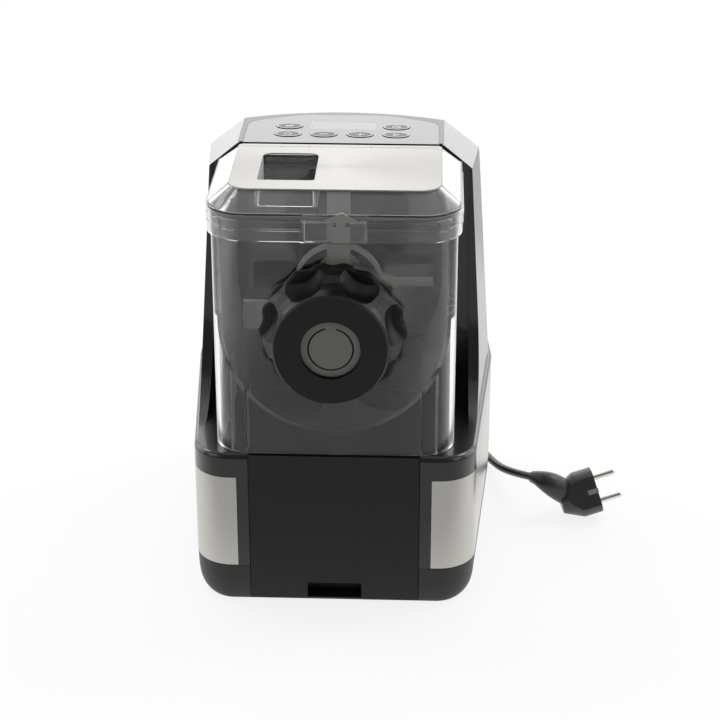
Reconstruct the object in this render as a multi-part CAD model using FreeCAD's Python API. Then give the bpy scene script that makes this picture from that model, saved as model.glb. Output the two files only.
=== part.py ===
"""Electric pasta maker, built as an assembly of separate pieces.

Millimetres, +Z up. The front, with the knob, faces -Y. The origin is at the bottom centre
of the machine without its mains cord.
"""

import FreeCAD
import Part
import math
import os

V = FreeCAD.Vector

# Overall sizes
body_depth = 264.0          # drawer face to rear cover
knob_reach = 34.0           # knob face in front of the drawer face
machine_height = 318.0
base_top = 122.0            # deck that the mixing chamber stands on
base_edge_r = 5.0
tray_top = 30.0
tray_bottom = 1.2
wall = 3.0
seam_gap = 0.3              # between separate casing pieces

# Plan of the body
front_half = 101.5          # half width at the drawer face, before its corners are rounded
rear_half = 117.5           # half width where the body is widest
front_corner_r = 28.0
rear_corner_r = 48.0
widest_behind_face = 190.0
rear_taper = 5.0            # how much the half width falls from the widest place to the rear

face_y = knob_reach - (body_depth + knob_reach) / 2
rear_y = face_y + body_depth
widest_y = face_y + widest_behind_face

# Tower and its two wings
bulkhead_y = face_y + 123.0
wing_top_y = face_y + 119.0         # front edge of the wings at the top of the machine
wing_lean = 15.0                    # how far that edge comes forward on its way down
wing_sweep_r = 70.0                 # the concave sweep from the wings to the deck
recess_half_low = 97.5              # half the clear width between the wings, at the deck
recess_half_high = 95.0
chamfer_low_z = 301.0
chamfer_half = 76.0                 # half width of the flat top
cover_split_y = face_y + 190.0
cover_top_z = 262.0
tower_inset = 2.5                   # step from the base's side in to the tower's
tower_root = 8.0                    # how far the tower reaches down into the base
tower_taper = 13.0                  # how much the tower's half width falls on its way up
tower_rear_lean = 6.0
slope_top_y = face_y + 196.0        # where the upper back starts to slope down
slope_foot_z = 226.0
slope_plan_r = 185.0                # bow of the upper back, seen from above

# Steel side panels
steel_thickness = 1.0
steel_low_z = 30.6
steel_high_z = 103.0
steel_inner_x = 71.0
steel_end_y = face_y + 205.0

# Extrusion axis, along Y
axis_z = 220.0

# Mixing chamber
chamber_front_y = face_y + 2.0
chamber_rear_y = face_y + 113.0
chamber_half = 86.5
chamber_corner_r = 25.0
chamber_rear_r = 10.0
chamber_wall = 3.0
chamber_top = 302.0
trough_r = 78.0
collar_r = 33.0             # neck in front of the chamber that the knob screws on to
collar_reach = 17.0
chamber_lift = 0.3          # running gap between the chamber and the deck
rib_x = (63.0, 73.0)

# Barrel, die and knob
barrel_bore_r = 20.0
barrel_wall = 3.0
barrel_flange_r = 29.0
barrel_flange = 3.0
die_r = 28.0
die_thickness = 8.0
die_slot_r = 15.5
die_slot_width = 1.2
knob_face_r = 40.5
knob_flange_r = 50.8
knob_wave = 1.0
knob_waves = 18
knob_scoops = 7
scoop_r = 24.0
scoop_depth = 3.2
knob_hole_r = 21.3
knob_front_wall = 3.6

# Auger and mixing paddle
auger_r = 19.2
auger_core_r = 7.0
auger_pitch = 24.0
auger_flight = 3.0
hub_r = 12.0
paddle_reach = 73.0
hoop_r = 32.0

# Drive
shaft_r = 6.0
running_gap = 0.05
hex_flats = 10.0
gear_module = 2.0
gear_teeth = 48
pinion_teeth = 12
pressure_angle = math.radians(25.0)
gear_backlash = 0.35
gear_face = 10.0
gear_front_y = bulkhead_y + 13.0
gear_plate_y = bulkhead_y + 28.0
gear_plate_thickness = 3.0
motor_r = 33.0
motor_length = 46.0
gearbox_r = 26.0
gearbox_length = 30.0

# Lid
lid_skirt_low = 286.6
lid_rim_z = 307.0
lid_top_z = 317.0
lid_plate_thickness = 1.0
lid_wall = 2.4
lid_clearance = 0.4
lid_front_run = 20.0        # plan length of the sloping front
lid_side_run = 14.5
lid_rear_y = face_y + 117.5
lid_tab_half = 22.0
fill_x = (-54.5, -14.3)
fill_y = (face_y + 38.0, face_y + 97.0)
chute_wall = 2.0
chute_low_z = 298.0

# Drawer
drawer_half = 61.9
drawer_low_z = 3.4
drawer_high_z = 121.4
drawer_face = 4.0
drawer_box_half = 57.5
drawer_box_depth = 100.0
drawer_wall = 2.0
notch_half = 20.0
notch_top_z = 16.6

# Control panel and keys
panel_half = 72.0
panel_front_y = face_y + 121.4
panel_thickness = 3.0
panel_rear_y = face_y + 190.0
panel_rear_side_y = face_y + 172.0
key_half_x = 10.0
key_half_y = 6.4
key_pitch = 26.8
key_front_y = face_y + 141.5
key_rear_y = face_y + 160.5
key_gap = 0.35
key_travel = 0.5
key_height = 7.0
display_half = 23.0
display_y = (face_y + 154.0, face_y + 172.0)

# Mains cord
cord_r = 3.2
cord_exit_x = -62.0
cord_exit_z = 42.0
gland_length = 22.0
cord_rest_z = cord_r + 0.1          # height of the cord's centre where it lies on the floor
coil_pitch = 2 * cord_r + 0.6
coil_outer_r = 41.0

# Mains plug, lying on the floor to the right of the machine
plug_r = 18.5
plug_pin_r = 2.4
plug_pin_length = 19.0
plug_pin_pitch = 19.0
plug_face = (202.7, 30.6, 22.0)     # middle of the face that the pins stand on
plug_axis = (0.949, 0.160, 0.271)   # the way the pins point
plug_side = (0.331, -0.379, -0.865) # from the upper pin to the lower one
plug_entry_step = (-50.0, 2.3, 8.6)  # from that face to where the cord enters


def point_on(corner, toward, distance):
    """The point at that distance from corner on the way to toward."""
    step = V(toward[0] - corner[0], toward[1] - corner[1], 0)
    step.normalize()
    return V(corner[0], corner[1], 0) + step * distance


def rounded_wire(corners, z=0.0):
    """Closed wire through plan corners (x, y, radius), each rounded by a tangent arc."""
    starts = []
    edges = []
    count = len(corners)
    for index, (x, y, radius) in enumerate(corners):
        before = corners[index - 1]
        after = corners[(index + 1) % count]
        if radius <= 0:
            starts.append((V(x, y, 0), V(x, y, 0), None))
            continue
        to_before = V(before[0] - x, before[1] - y, 0)
        to_after = V(after[0] - x, after[1] - y, 0)
        half = to_before.getAngle(to_after) / 2
        reach = radius / math.tan(half)
        first = point_on((x, y), before, reach)
        last = point_on((x, y), after, reach)
        bisector = to_before.normalize() + to_after.normalize()
        bisector.normalize()
        middle = V(x, y, 0) + bisector * (radius / math.sin(half) - radius)
        starts.append((first, last, middle))
    for index, (first, last, middle) in enumerate(starts):
        if middle is not None:
            edges.append(Part.Arc(first, middle, last).toShape())
        following = starts[(index + 1) % count][0]
        if (following - last).Length > 1e-6:
            edges.append(Part.LineSegment(last, following).toShape())
    wire = Part.Wire(edges)
    wire.translate(V(0, 0, z))
    return wire


def mirrored(right_corners):
    """Full list of plan corners from those of the right half, front to rear."""
    left = [(-x, y, radius) for x, y, radius in reversed(right_corners)]
    return right_corners + left


def prism(corners, low_z, high_z):
    face = Part.Face(rounded_wire(corners, low_z))
    return face.extrude(V(0, 0, high_z - low_z))


def loft(wires, smooth=False):
    return Part.makeLoft(wires, True, not smooth)


def box(low, high):
    size = V(*high) - V(*low)
    return Part.makeBox(size.x, size.y, size.z, V(*low))


def side_profile(points, half_width):
    """Solid from (y, z, radius) corners, extruded along X to both sides."""
    wire = rounded_wire(points)
    wire.rotate(V(0, 0, 0), V(1, 1, 1), 120)
    wire.translate(V(-half_width, 0, 0))
    return Part.Face(wire).extrude(V(2 * half_width, 0, 0))


def front_profile(points, low_y, high_y):
    """Solid from (x, z, radius) corners, extruded along Y."""
    wire = rounded_wire(points)
    wire.rotate(V(0, 0, 0), V(1, 0, 0), 90)
    wire.translate(V(0, low_y, 0))
    return Part.Face(wire).extrude(V(0, high_y - low_y, 0))


def rod(radius, low_y, high_y, x=0.0, z=axis_z):
    """Cylinder along Y."""
    return Part.makeCylinder(radius, high_y - low_y, V(x, low_y, z), V(0, 1, 0))


def tube(outer, inner, low_y, high_y, x=0.0, z=axis_z):
    return rod(outer, low_y, high_y, x, z).cut(rod(inner, low_y - 1, high_y + 1, x, z))


def spun(points, x=0.0, z=axis_z):
    """Solid of revolution about the extrusion axis, from (radius, y) corners."""
    vectors = [V(x + radius, y, z) for radius, y in points]
    face = Part.Face(Part.makePolygon(vectors + vectors[:1]))
    return face.revolve(V(x, 0, z), V(0, 1, 0), 360)


def fused(shapes):
    whole = shapes[0].multiFuse(shapes[1:])
    return whole.removeSplitter()


def body_outline(inset=0.0, shrink=0.0, rear=rear_y, front_share=1.0):
    """Plan corners of the body. shrink narrows it, and rear is its rearmost y."""
    return mirrored([
        (front_half - shrink - inset, face_y + inset * front_share, front_corner_r - inset),
        (rear_half - shrink - inset, widest_y, 90.0),
        (rear_half - shrink - rear_taper - inset, rear - inset, rear_corner_r - inset),
    ])


def tower_level(z, inset):
    """Plan wire of the tower at a height: narrower towards the top."""
    rise = (z - base_top) / (machine_height - base_top)
    shrink = tower_taper * rise
    rear = rear_y - tower_rear_lean * rise
    return rounded_wire(body_outline(inset + tower_inset, shrink, rear), z)


def rear_slope(inset):
    """All that lies behind the sloping upper back, bowed in plan, as a solid to cut away."""
    centre_y = slope_top_y - slope_plan_r
    above = machine_height + 20
    top_r = slope_plan_r - inset
    foot_r = rear_y - centre_y - tower_inset - tower_rear_lean / 2 - inset
    far = foot_r + 90
    profile = rounded_wire([
        (top_r, above, 0),
        (top_r, machine_height - inset * 0.4, 9.0),
        (foot_r, slope_foot_z, 60.0),
        (foot_r + 6.0, base_top - 40, 0),
        (far, base_top - 40, 0),
        (far, above, 0),
    ])
    profile.rotate(V(0, 0, 0), V(1, 0, 0), 90)
    ring = Part.Face(profile).revolve(V(0, 0, 0), V(0, 0, 1), 180)
    ring.translate(V(0, centre_y, 0))
    return ring


def tower(inset):
    low = base_top - tower_root
    block = loft([tower_level(low, inset), tower_level(machine_height, inset)])
    return block.cut(rear_slope(inset))


def wing_front():
    """All that lies in front of the wings and above the deck, as a solid to cut away."""
    ahead = face_y - 20
    above = machine_height + 20
    run = wing_lean / (machine_height - base_top)
    top_y = wing_top_y + run * (above - machine_height)
    foot_y = wing_top_y - wing_lean
    return side_profile([
        (ahead, base_top, 0),
        (foot_y, base_top, wing_sweep_r),
        (top_y, above, 0),
        (ahead, above, 0),
    ], rear_half + 10)


def chamber_recess():
    """The space between the wings, down to the deck and back to the bulkhead."""
    above = machine_height + 20
    inner_flat = chamfer_half - 1.2
    inner_low = chamfer_low_z + 1.5
    return front_profile([
        (-recess_half_low, base_top, 0),
        (recess_half_low, base_top, 0),
        (recess_half_high, inner_low, 0),
        (inner_flat, machine_height - 1.0, 0),
        (inner_flat, above, 0),
        (-inner_flat, above, 0),
        (-inner_flat, machine_height - 1.0, 0),
        (-recess_half_high, inner_low, 0),
    ], face_y - 20, bulkhead_y)


def top_chamfers(offset=0.0):
    """The two corner prisms that give the tower its octagonal top."""
    slope_x = 21.0
    slope_z = machine_height - chamfer_low_z
    reach = 3.0
    corner = [
        (chamfer_half - offset, machine_height),
        (chamfer_half - offset + slope_x * reach, machine_height - slope_z * reach),
        (chamfer_half + slope_x * reach, machine_height + 30),
        (chamfer_half - offset, machine_height + 30),
    ]
    shapes = []
    for side in (1, -1):
        points = [(side * x, z, 0) for x, z in corner]
        if side < 0:
            points.reverse()
        shapes.append(front_profile(points, face_y - 20, rear_y + 20))
    return shapes


def full_tower():
    solid = tower(0.0)
    for corner in top_chamfers():
        solid = solid.cut(corner)
    return solid


def tower_cavity():
    """Inside of the tower, behind the bulkhead."""
    top = machine_height - panel_thickness - wall
    solid = tower(wall)
    solid = solid.common(box((-200, bulkhead_y + wall, base_top - wall - 1), (200, rear_y, top)))
    for corner in top_chamfers(offset=wall * 1.4):
        solid = solid.cut(corner)
    return solid


def base_block():
    """Upper part of the base, with a rounded top edge."""
    block = prism(body_outline(), tray_top + seam_gap, base_top)
    edges = [edge for edge in block.Edges if edge.BoundBox.ZMin > base_top - 0.01]
    return block.makeFillet(base_edge_r, edges)


def steel_window(side, extra):
    """The block of space in which a steel side panel lies."""
    low = (steel_inner_x - extra, face_y - 5, steel_low_z - extra)
    high = (rear_half + 10, steel_end_y + extra, steel_high_z + extra)
    block = box(low, high)
    if side < 0:
        block = block.mirror(V(0, 0, 0), V(1, 0, 0))
    return block


def steel_panel(side):
    outer = prism(body_outline(), steel_low_z, steel_high_z)
    inner = prism(body_outline(steel_thickness), steel_low_z - 1, steel_high_z + 1)
    return outer.cut(inner).common(steel_window(side, 0.0))


def steel_recess(side):
    low = steel_low_z - 1
    high = steel_high_z + 1
    outer = prism(body_outline(-3.0), low, high)
    inner = prism(body_outline(steel_thickness + 0.1), low - 1, high + 1)
    return outer.cut(inner).common(steel_window(side, seam_gap))


def outer_body():
    """Base and tower as one block, before they are hollowed."""
    whole = full_tower().cut(wing_front()).fuse(base_block())
    return whole.cut(chamber_recess())


def body_cavities():
    lower = prism(body_outline(wall), tray_top - 5, base_top - wall)
    return lower.fuse(tower_cavity())


def cover_region():
    """Where the rear cover is, behind its split line."""
    return box((-200, cover_split_y, tray_top), (200, rear_y + 20, cover_top_z))


def drawer_mouth():
    return box((-drawer_half - 0.5, face_y - 5, 0),
               (drawer_half + 0.5, face_y + drawer_face + 0.4, base_top + 1))


def panel_outline(inset=0.0):
    half = panel_half - inset
    return mirrored([
        (half, panel_front_y + inset, 0),
        (half, panel_rear_side_y - inset, 16.0),
        (half * 0.45, panel_rear_y - inset, 60.0),
    ])


def main_housing(body, cavities):
    shell = body.cut(cavities).cut(cover_region()).cut(drawer_mouth())
    shell = shell.cut(prism(panel_outline(-0.2), machine_height - panel_thickness, 400))
    board_bay = prism(panel_outline(8.0), machine_height - 20, 400)
    bearing_boss = tube(17.0, 13.0, bulkhead_y + wall - 0.5, bulkhead_y + wall + 7)
    shell = shell.cut(board_bay).cut(rod(13.0, bulkhead_y - 5, bulkhead_y + 8))
    for side in (1, -1):
        shell = shell.cut(steel_recess(side))
    return fused([shell, bearing_boss])


def vent_slots():
    slots = []
    for row in range(9):
        z = 150.0 + row * 9.0
        slots.append(box((-42, cover_split_y + 5, z), (42, rear_y + 20, z + 4.0)))
    return slots


def rear_cover(body, cavities):
    region = box((-200, cover_split_y + seam_gap, tray_top + seam_gap),
                 (200, rear_y + 20, cover_top_z - seam_gap))
    cover = body.cut(cavities).common(region)
    for side in (1, -1):
        cover = cover.cut(steel_recess(side))
    cover = cover.cut(Part.Compound(vent_slots()))
    cover = cover.cut(rod(7.0, rear_y - 30, rear_y + 10, cord_exit_x, cord_exit_z))
    return cover


def tray_levels(inset):
    """Tray wires from its floor up to its rim: the wall tucks in towards the floor."""
    steps = [(0.0, 9.5), (3.0, 5.2), (9.0, 2.0), (tray_top - tray_bottom, 0.0)]
    return [rounded_wire(body_outline(tuck + inset, front_share=tray_front_share(tuck, inset)),
                         tray_bottom + rise) for rise, tuck in steps]


def tray_front_share(tuck, inset):
    """The front wall tucks in less than the sides, so that a lip shows below the drawer."""
    whole = tuck + inset
    return 1.0 if whole == 0 else (0.3 * tuck + inset) / whole


foot_places = [(80.0, face_y + 19.0), (-80.0, face_y + 19.0),
               (84.0, rear_y - 48.0), (-84.0, rear_y - 48.0)]
foot_r = 9.0
foot_height = 1.2
foot_seat = 1.0


def base_tray():
    outer = loft(tray_levels(0.0), smooth=True)
    inner = loft(tray_levels(wall), smooth=True)
    floor_z = drawer_low_z - seam_gap
    inner = inner.common(box((-200, -200, floor_z), (200, 200, tray_top + 1)))
    tray = outer.cut(inner)
    mouth = box((-drawer_half - 0.5, face_y - 5, floor_z),
                (drawer_half + 0.5, face_y + 16, tray_top + 5))
    tray = tray.cut(mouth)
    rails = []
    for side in (1, -1):
        low = side * (drawer_box_half + 0.6)
        high = side * (drawer_box_half + 3.0)
        rails.append(box((min(low, high), face_y + 18, floor_z - 0.5),
                         (max(low, high), face_y + 108, floor_z + 16)))
    stop = box((-drawer_box_half, face_y + 106, floor_z - 0.5),
               (drawer_box_half, face_y + 108, floor_z + 16))
    tray = fused([tray] + rails + [stop])
    for x, y in foot_places:
        tray = tray.cut(Part.makeCylinder(foot_r, foot_height + foot_seat, V(x, y, 0)))
    return tray


def rubber_feet():
    feet = []
    for x, y in foot_places:
        pad = Part.makeCone(foot_r - 0.8, foot_r - 0.1, foot_height, V(x, y, 0))
        plug = Part.makeCylinder(foot_r - 0.1, foot_seat, V(x, y, foot_height))
        feet.append(fused([pad, plug]))
    return Part.Compound(feet)


def chamber_outline(inset=0.0):
    return mirrored([
        (chamber_half - inset, chamber_front_y + inset, chamber_corner_r - inset),
        (chamber_half - inset, chamber_rear_y - inset, chamber_rear_r - min(inset, 8.0)),
    ])


def trough(radius, low_y, high_y, top_z):
    """U-shaped channel round the extrusion axis, open upwards."""
    bowl = rod(radius, low_y, high_y)
    upper = box((-radius, low_y, axis_z), (radius, high_y, top_z))
    return bowl.fuse(upper)


def chamber_ribs():
    """Upright stiffening ribs inside the chamber's skirt, two on each side at the front."""
    ribs = []
    for x in (-rib_x[1], -rib_x[0], rib_x[0], rib_x[1]):
        ribs.append(box((x - 0.8, chamber_front_y + 1, base_top), (x + 0.8, chamber_front_y + 16, axis_z)))
    return Part.Compound(ribs)


def mixing_chamber():
    low_z = base_top + chamber_lift
    outer = prism(chamber_outline(), low_z, chamber_top)
    inside = prism(chamber_outline(chamber_wall), low_z - 1, chamber_top + 1)
    under = inside.cut(trough(trough_r + chamber_wall, face_y, bulkhead_y, chamber_top + 2))
    under = under.common(box((-200, -200, 0), (200, 200, axis_z + 4)))
    cavity = trough(trough_r, chamber_front_y + chamber_wall,
                    chamber_rear_y - chamber_wall, chamber_top + 2)
    cavity = cavity.common(inside)
    shell = outer.cut(under.cut(chamber_ribs())).cut(cavity)
    collar = rod(collar_r, chamber_front_y - collar_reach, chamber_front_y + 0.5)
    lugs = [box((-4, chamber_front_y - collar_reach + 2, axis_z + collar_r - 2),
                (4, chamber_front_y - collar_reach + 5, axis_z + collar_r + 1.6))]
    turned = []
    for index in range(4):
        lug = lugs[0].copy()
        lug.rotate(V(0, 0, axis_z), V(0, 1, 0), 90 * index + 45)
        turned.append(lug)
    shell = fused([shell, collar] + turned)
    shell = shell.cut(rod(barrel_bore_r + barrel_wall + 0.1, face_y - 30, face_y + 30))
    shell = shell.cut(rod(hub_r + 2.6, chamber_rear_y - 8, chamber_rear_y + 8))
    return shell


def chamber_bush():
    """Bearing ring in the chamber's rear wall, in which the auger's stub runs."""
    low = chamber_rear_y - chamber_wall - 2
    ring = tube(hub_r + 2.5, hub_r - 2 + running_gap, low, chamber_rear_y + 1)
    lip = tube(hub_r + 5, hub_r + 0.5, low, chamber_rear_y - chamber_wall)
    return fused([ring, lip])


def barrel_front_y():
    return chamber_front_y - collar_reach


def extrusion_barrel():
    front = barrel_front_y()
    outer = barrel_bore_r + barrel_wall
    body = rod(outer, front - 1, face_y + 36)
    flange = rod(barrel_flange_r, front - 0.6 - barrel_flange, front - 0.6)
    nose = rod(outer, die_rear_y(), front - 0.6)
    feed = box((-14, face_y + 14, axis_z), (14, face_y + 32, axis_z + 40))
    whole = fused([body, flange, nose])
    return whole.cut(rod(barrel_bore_r, front - 20, face_y + 50)).cut(feed)


def barrel_seal():
    """Rubber ring between the chamber's neck and the barrel's flange."""
    front = barrel_front_y()
    return tube(barrel_flange_r - 0.5, barrel_bore_r + barrel_wall, front - 0.6, front)


def die_face_y():
    return face_y - knob_reach + knob_front_wall + 0.3


def die_rear_y():
    return die_face_y() + die_thickness


def shaping_disc():
    """Die of pale plastic, with the C-shaped slit that a flat sheet of dough comes out of."""
    front = die_face_y()
    disc = rod(die_r, front, front + die_thickness)
    raised = rod(knob_hole_r - 0.8, front - 1.0, front + 1)
    disc = fused([disc, raised])
    slit = tube(die_slot_r + die_slot_width / 2, die_slot_r - die_slot_width / 2,
                front - 5, front + die_thickness + 5)
    bridge = box((-3.6, front - 6, axis_z), (3.6, front + die_thickness + 6, axis_z + 30))
    disc = disc.cut(slit.cut(bridge))
    hollow = spun([(0, front + 4), (12.5, front + 4), (12.5, front + 20), (0, front + 20)])
    return disc.cut(hollow)


def wave_wire(mean, amplitude, y):
    """Closed wavy ring of arcs about the extrusion axis."""
    edges = []
    step = math.pi / knob_waves
    for index in range(2 * knob_waves):
        middle = index * step
        crest = amplitude if index % 2 == 0 else -amplitude
        points = []
        for angle, lift in ((middle - step / 2, 0.0), (middle, crest), (middle + step / 2, 0.0)):
            radius = mean + lift
            points.append(V(radius * math.cos(angle), y, axis_z + radius * math.sin(angle)))
        edges.append(Part.Arc(*points).toShape())
    return Part.Wire(edges)


def locking_knob():
    """Hand nut: round face, flaring grip with broad scoops, and a wavy flange at the back."""
    front = face_y - knob_reach
    back = chamber_front_y - 1.5
    flange_front = back - 3.2
    ring = loft([wave_wire(knob_flange_r, knob_wave, back),
                 wave_wire(knob_flange_r, knob_wave, flange_front)])
    edge = loft([wave_wire(knob_flange_r, knob_wave, flange_front),
                 wave_wire(knob_flange_r - 1.6, knob_wave, flange_front - 1.0)])
    profile = [
        (0, front), (knob_face_r - 1.4, front), (knob_face_r, front + 1.6),
        (knob_face_r + 0.6, front + 11), (knob_face_r + 2.6, front + 18),
        (knob_face_r + 6.2, front + 23.5), (knob_flange_r - 1.2, flange_front - 0.4),
        (knob_flange_r - 1.2, back), (0, back),
    ]
    grip = spun(profile)
    for index in range(knob_scoops):
        centre = V(0, front + 15.0, axis_z + knob_face_r + scoop_r - scoop_depth)
        scoop = Part.makeSphere(scoop_r, centre)
        scoop.rotate(V(0, 0, axis_z), V(0, 1, 0), 360.0 * (index + 0.5) / knob_scoops)
        grip = grip.cut(scoop)
    knob = fused([grip, ring, edge])
    knob = knob.cut(rod(knob_hole_r, front - 5, front + 10))
    knob = knob.cut(rod(die_r + 0.4, front + knob_front_wall, front + 22))
    knob = knob.cut(rod(collar_r + 2.2, front + knob_front_wall + die_thickness + 0.6, back + 5))
    return knob


def hexagon(flats, low_y, high_y):
    radius = flats / 2 / math.cos(math.pi / 6)
    corners = [V(radius * math.cos(k * math.pi / 3), low_y, axis_z + radius * math.sin(k * math.pi / 3))
               for k in range(6)]
    face = Part.Face(Part.makePolygon(corners + corners[:1]))
    return face.extrude(V(0, high_y - low_y, 0))


coupling_reach = 24.0       # how far the drive hexagon stands in front of the bulkhead


def auger():
    """Screw with a hub at its rear end that takes the drive hexagon."""
    tip = die_rear_y() + 5.0
    hub_front = chamber_rear_y - 38
    flight_end = hub_front - 4
    core = rod(auger_core_r, tip, hub_front + 1)
    nose = Part.makeCone(3.0, auger_core_r, 4.0, V(0, tip - 4.0, axis_z), V(0, 1, 0))
    hub = rod(hub_r, hub_front, chamber_rear_y - chamber_wall - 2.6)
    stub = rod(hub_r - 2, chamber_rear_y - chamber_wall - 3, chamber_rear_y + 4)
    length = flight_end - tip
    helix = Part.makeHelix(auger_pitch, length, auger_core_r - 1)
    low = auger_core_r - 1
    profile = Part.makePolygon([
        V(low, 0, -auger_flight * 0.8),
        V(auger_r, 0, -auger_flight / 2),
        V(auger_r, 0, auger_flight / 2),
        V(low, 0, auger_flight * 0.8),
        V(low, 0, -auger_flight * 0.8),
    ])
    flight = Part.Wire(helix).makePipeShell([profile], True, True)
    flight.rotate(V(0, 0, 0), V(1, 0, 0), -90)
    flight.translate(V(0, tip, axis_z))
    tight = rod(auger_r, tip, flight_end)
    flight = flight.common(tight)
    whole = fused([core, nose, hub, stub, flight])
    socket_front = bulkhead_y - coupling_reach - 1.0
    return whole.cut(hexagon(hex_flats + 0.4, socket_front, chamber_rear_y + 10))


def mixing_paddle():
    """Hub with four arms that sweep the trough, two of them joined by a hoop."""
    front = chamber_rear_y - 36
    back = chamber_rear_y - 14
    middle = (front + back) / 2
    hub = rod(hub_r + 4, front, back)
    upper = box((-8.5, middle - 3, axis_z + hub_r), (8.5, middle + 3, axis_z + paddle_reach))
    lower = box((-7, middle - 3, axis_z - paddle_reach), (7, middle + 3, axis_z - hub_r))
    left = box((-paddle_reach + 4, front - 8, axis_z - 28), (-auger_r - 1, front - 3, axis_z - 7))
    left_root = box((-24, front - 8, axis_z - 12), (-hub_r + 1, back, axis_z - 6))
    right = Part.makeCylinder(3.6, 36, V(34, middle, axis_z + 3), V(1, 0, 0))
    right_root = Part.makeCylinder(3.6, 36, V(hub_r - 1, middle, axis_z + 14), V(1, 0, -0.38))
    hoop = tube(hoop_r + 1.3, hoop_r - 1.3, middle - 4, middle + 2)
    paddle = fused([hub, upper, lower, left, left_root, right, right_root, hoop])
    return paddle.cut(rod(hub_r, front - 30, back + 10))


def involute_point(base_r, radius, start):
    """Point of the involute from a base circle at that radius, turned by start."""
    grow = math.sqrt(max((radius / base_r) ** 2 - 1, 0.0))
    angle = start + grow - math.atan(grow)
    return V(radius * math.cos(angle), 0, radius * math.sin(angle))


def spur_gear(teeth, bore, low_y, x, z, turn):
    """Spur gear along Y with involute flanks. turn is in teeth."""
    pitch_r = gear_module * teeth / 2
    base_r = pitch_r * math.cos(pressure_angle)
    tip_r = pitch_r + gear_module * 0.85
    root_r = pitch_r - gear_module * 1.1
    flank_low = max(base_r, root_r)
    half_tooth = math.pi / (2 * teeth) - gear_backlash / (2 * pitch_r)
    spread = math.tan(pressure_angle) - pressure_angle
    start = -(half_tooth + spread)
    points = []
    for tooth in range(teeth):
        centre = 2 * math.pi * (tooth + turn) / teeth
        radii = [flank_low, (flank_low + tip_r) / 2, tip_r]
        rising = [involute_point(base_r, r, start) for r in radii]
        foot_angle = math.atan2(rising[0].z, rising[0].x)
        foot = V(root_r * math.cos(foot_angle), 0, root_r * math.sin(foot_angle))
        half = ([foot] if root_r < flank_low - 1e-6 else []) + rising
        outline = half + [V(p.x, 0, -p.z) for p in reversed(half)]
        for p in outline:
            angle = math.atan2(p.z, p.x) + centre
            radius = math.hypot(p.x, p.z)
            points.append(V(x + radius * math.cos(angle), low_y, z + radius * math.sin(angle)))
    face = Part.Face(Part.makePolygon(points + points[:1]))
    return face.extrude(V(0, gear_face, 0)).cut(rod(bore, low_y - 1, low_y + gear_face + 1, x, z))


def centre_distance():
    return gear_module * (gear_teeth + pinion_teeth) / 2


pinion_z = axis_z - gear_module * (gear_teeth + pinion_teeth) / 2
pinion_shaft_r = 4.0


def output_gear():
    gear = spur_gear(gear_teeth, shaft_r, gear_front_y, 0.0, axis_z, 0.0)
    web = tube(36.0, 15.0, gear_front_y - 1, gear_front_y + 2.5)
    holes = [rod(7.5, gear_front_y - 5, gear_front_y + 20, 26 * math.cos(k * math.pi / 3),
                 axis_z + 26 * math.sin(k * math.pi / 3)) for k in range(6)]
    return gear.cut(web).cut(Part.Compound(holes))


def output_shaft():
    low = bulkhead_y - coupling_reach
    tip = hexagon(hex_flats, low, bulkhead_y - 2)
    body = rod(shaft_r, bulkhead_y - 2, gear_plate_y + gear_plate_thickness + 4)
    return fused([tip, body])


def motor_pinion():
    gear = spur_gear(pinion_teeth, pinion_shaft_r, gear_front_y, 0.0, pinion_z, 0.5)
    shaft = rod(pinion_shaft_r, gear_front_y - 1, gear_plate_y + gear_plate_thickness - 0.3,
                0.0, pinion_z)
    return fused([gear, shaft])


def bearing_seats():
    return [bulkhead_y + wall, gear_plate_y - 3.0]


def output_bearings():
    rings = [tube(13.0, shaft_r + running_gap, y, y + 7) for y in bearing_seats()]
    return Part.Compound(rings)


def shaft_seal():
    low = bulkhead_y + 0.4
    return tube(13.0, shaft_r + 0.1, low, bulkhead_y + wall)


def gear_plate():
    """Steel plate that carries the rear bearing and the gear motor, on four posts."""
    low = gear_plate_y
    plate = front_profile([
        (-46, pinion_z - 36, 8), (46, pinion_z - 36, 8), (46, axis_z + 62, 8), (-46, axis_z + 62, 8),
    ], low, low + gear_plate_thickness)
    cup = rod(16.0, low - 3, low + gear_plate_thickness + 2)
    posts = [rod(5.0, bulkhead_y + wall, low + 0.5, x, z) for x, z in post_places()]
    whole = fused([plate, cup] + posts)
    whole = whole.cut(rod(13.0, low - 5, low + 4))
    whole = whole.cut(rod(shaft_r + 1.5, low - 5, low + 20))
    return whole.cut(rod(pinion_shaft_r + 3, low - 5, low + 20, 0.0, pinion_z))


def post_places():
    return [(38, axis_z + 54), (-38, axis_z + 54), (38, pinion_z - 28), (-38, pinion_z - 28)]


def gear_plate_screws():
    rear = gear_plate_y + gear_plate_thickness
    return Part.Compound([rod(4.0, rear, rear + 2.6, x, z) for x, z in post_places()])


def gearbox():
    front = gear_plate_y + gear_plate_thickness
    case = rod(gearbox_r, front, front + gearbox_length, 0.0, pinion_z)
    ribs = [tube(gearbox_r + 1.5, gearbox_r - 1, front + 4 + 8 * k, front + 7 + 8 * k, 0.0, pinion_z)
            for k in range(3)]
    return fused([case] + ribs)


def motor():
    front = gear_plate_y + gear_plate_thickness + gearbox_length
    can = rod(motor_r, front, front + motor_length, 0.0, pinion_z)
    cap = rod(14.0, front + motor_length - 0.5, front + motor_length + 4, 0.0, pinion_z)
    terminals = [box((x - 2, front + motor_length - 0.5, pinion_z - 22),
                     (x + 2, front + motor_length + 6, pinion_z - 20)) for x in (-12, 12)]
    return fused([can, cap] + terminals)


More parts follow.
